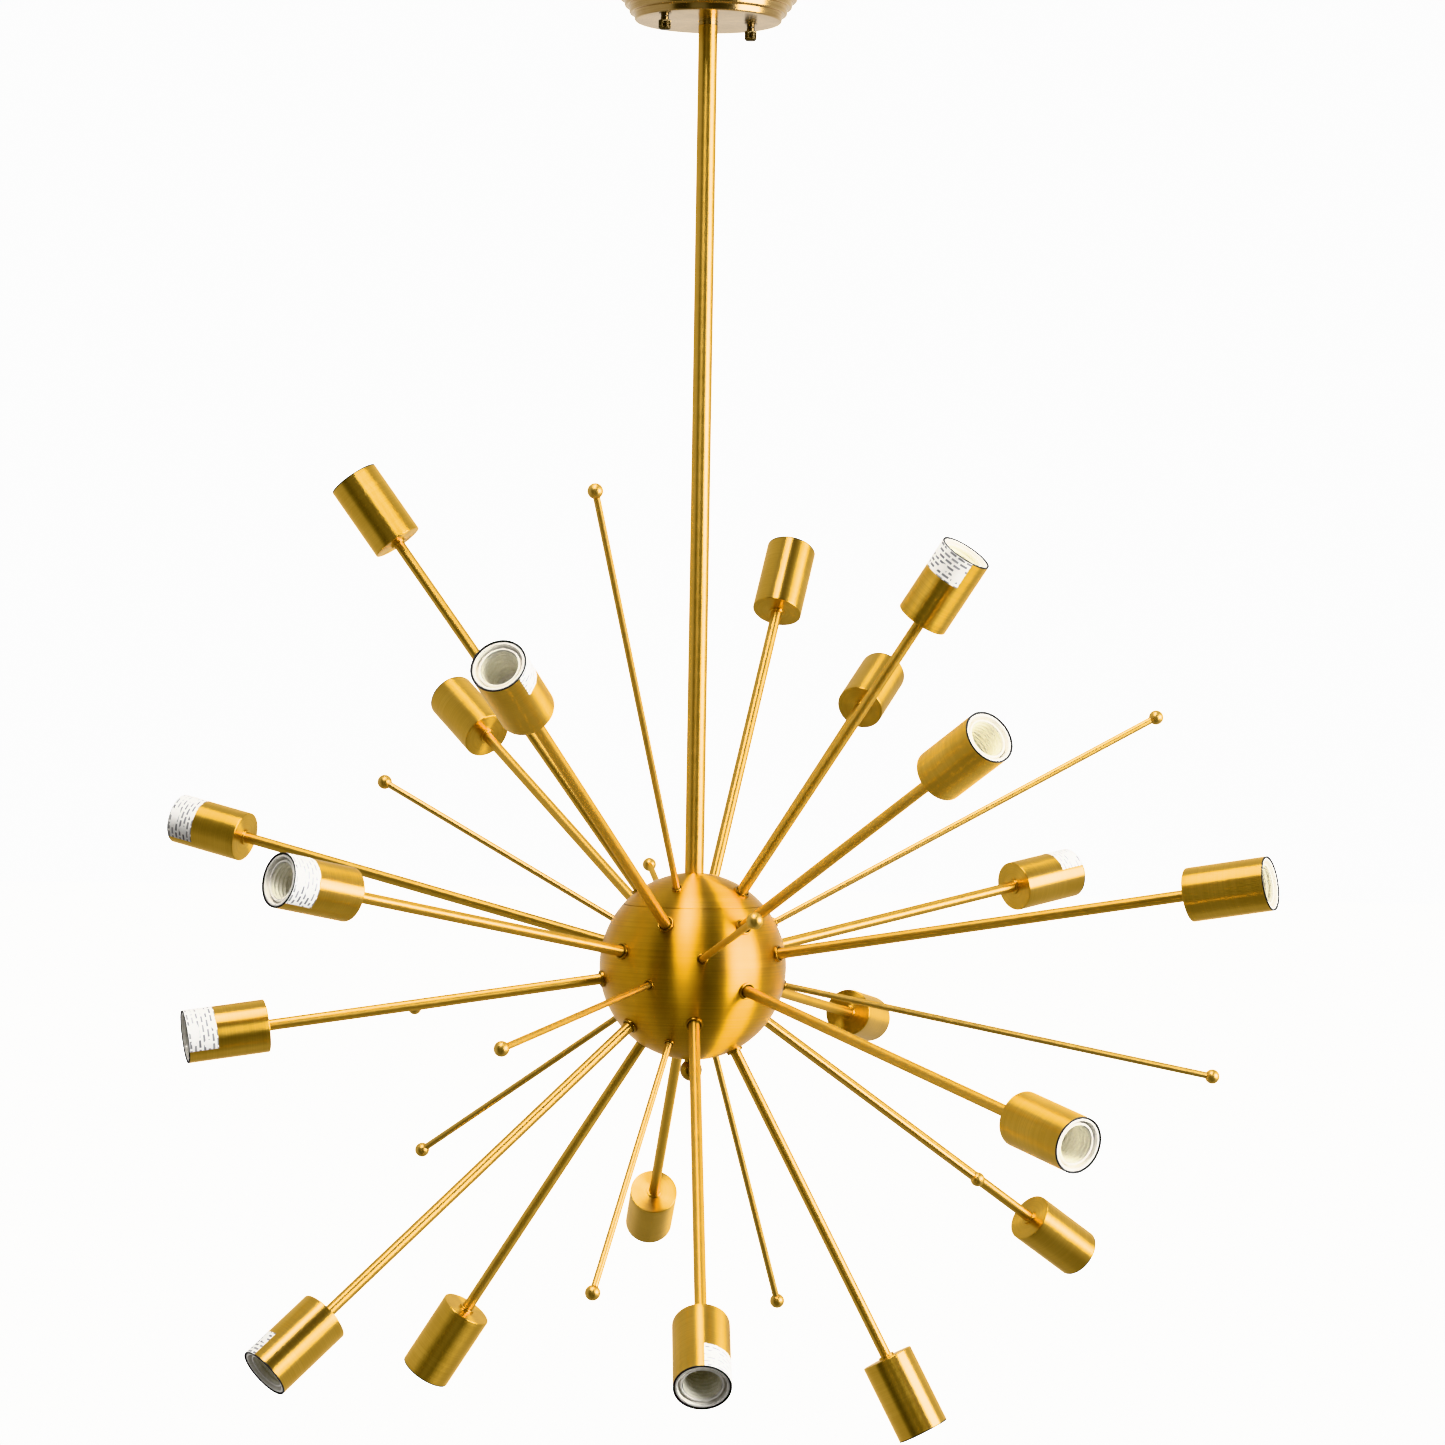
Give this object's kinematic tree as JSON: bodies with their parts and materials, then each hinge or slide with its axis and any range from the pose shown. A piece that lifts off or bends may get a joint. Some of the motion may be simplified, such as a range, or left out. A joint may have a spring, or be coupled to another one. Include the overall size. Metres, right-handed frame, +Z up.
{
  "type": "multi arm chandelier",
  "caption": "Brushed-brass ball chandelier on a straight stem: radial arms with open screw lampholders in cups, and fine rods tipped with balls, under a stepped ceiling canopy.",
  "frame": {"origin": "middle of the ceiling plane, on the stem's axis: the top face of the crossbar and the canopy's rim lie in it", "axes": "+Z up along the stem into the ceiling; +X to the right and -Y to the front as seen from the main side"},
  "size_m": [0.9025, 0.9036, 1.1697],
  "materials": {
    "zinc_steel": "zinc-plated steel, satin",
    "antique_brass": "pale antique brass plate, polished",
    "dark_bronze": "dark bronze plate, knurled",
    "turned_brass": "turned brass, satin",
    "brushed_brass": "brushed brass tube, lengthwise polish",
    "spun_brass": "spun and lathe-brushed brass",
    "arm_brass": "drawn brass tube, satin",
    "cup_brass": "turned and brushed brass",
    "polished_brass": "polished brass",
    "porcelain": "white glazed porcelain",
    "screw_shell": "pressed shell, bright nickel plate",
    "contact_brass": "spring brass strip",
    "lead_sleeve": "insulated lead, matt"
  },
  "bodies": {
    "fixture": {"accent_balls": "polished_brass", "accent_rods": "polished_brass", "bottom_finial": "turned_brass", "ceiling_crossbar": "zinc_steel", "crossbar_lock_nuts": "zinc_steel", "crossbar_studs": "zinc_steel", "hub_bowl": "spun_brass", "hub_cap": "spun_brass", "hub_collars": "turned_brass", "hub_rod": "zinc_steel", "internal_leads": "lead_sleeve", "lamp_arm_01": "arm_brass", "lamp_arm_02": "arm_brass", "lamp_arm_03": "arm_brass", "lamp_arm_04": "arm_brass", "lamp_arm_05": "arm_brass", "lamp_arm_06": "arm_brass", "lamp_arm_07": "arm_brass", "lamp_arm_08": "arm_brass", "lamp_arm_09": "arm_brass", "lamp_arm_10": "arm_brass", "lamp_arm_11": "arm_brass", "lamp_arm_12": "arm_brass", "lamp_arm_13": "arm_brass", "lamp_arm_14": "arm_brass", "lamp_arm_15": "arm_brass", "lamp_arm_16": "arm_brass", "lamp_arm_17": "arm_brass", "lamp_arm_18": "arm_brass", "lamp_arm_19": "arm_brass", "lamp_arm_20": "arm_brass", "lamp_cup_01": "cup_brass", "lamp_cup_02": "cup_brass", "lamp_cup_03": "cup_brass", "lamp_cup_04": "cup_brass", "lamp_cup_05": "cup_brass", "lamp_cup_06": "cup_brass", "lamp_cup_07": "cup_brass", "lamp_cup_08": "cup_brass", "lamp_cup_09": "cup_brass", "lamp_cup_10": "cup_brass", "lamp_cup_11": "cup_brass", "lamp_cup_12": "cup_brass", "lamp_cup_13": "cup_brass", "lamp_cup_14": "cup_brass", "lamp_cup_15": "cup_brass", "lamp_cup_16": "cup_brass", "lamp_cup_17": "cup_brass", "lamp_cup_18": "cup_brass", "lamp_cup_19": "cup_brass", "lamp_cup_20": "cup_brass", "lampholder_bodies": "porcelain", "lampholder_contacts": "contact_brass", "lampholder_shells": "screw_shell", "lock_nuts": "zinc_steel", "stem_top_fitting": "turned_brass", "stem_tube": "brushed_brass"},
    "canopy": {"canopy": "antique_brass"},
    "knob_left": {"canopy_knob_left": "dark_bronze"},
    "knob_right": {"canopy_knob_right": "dark_bronze"}
  },
  "joints": [
    {"name": "canopy_slide", "type": "slide", "parent": "fixture", "child": "canopy", "axis": [0, 0, -1], "range_m": [0, 0.12]},
    {"name": "knob_left_spin", "type": "hinge", "parent": "canopy", "child": "knob_left", "pos_m": [-0.03481, -0.02438, -0.0275], "axis": [0, 0, 1], "continuous": true},
    {"name": "knob_right_spin", "type": "hinge", "parent": "canopy", "child": "knob_right", "pos_m": [0.03481, 0.02438, -0.0275], "axis": [0, 0, 1], "continuous": true}
  ]
}
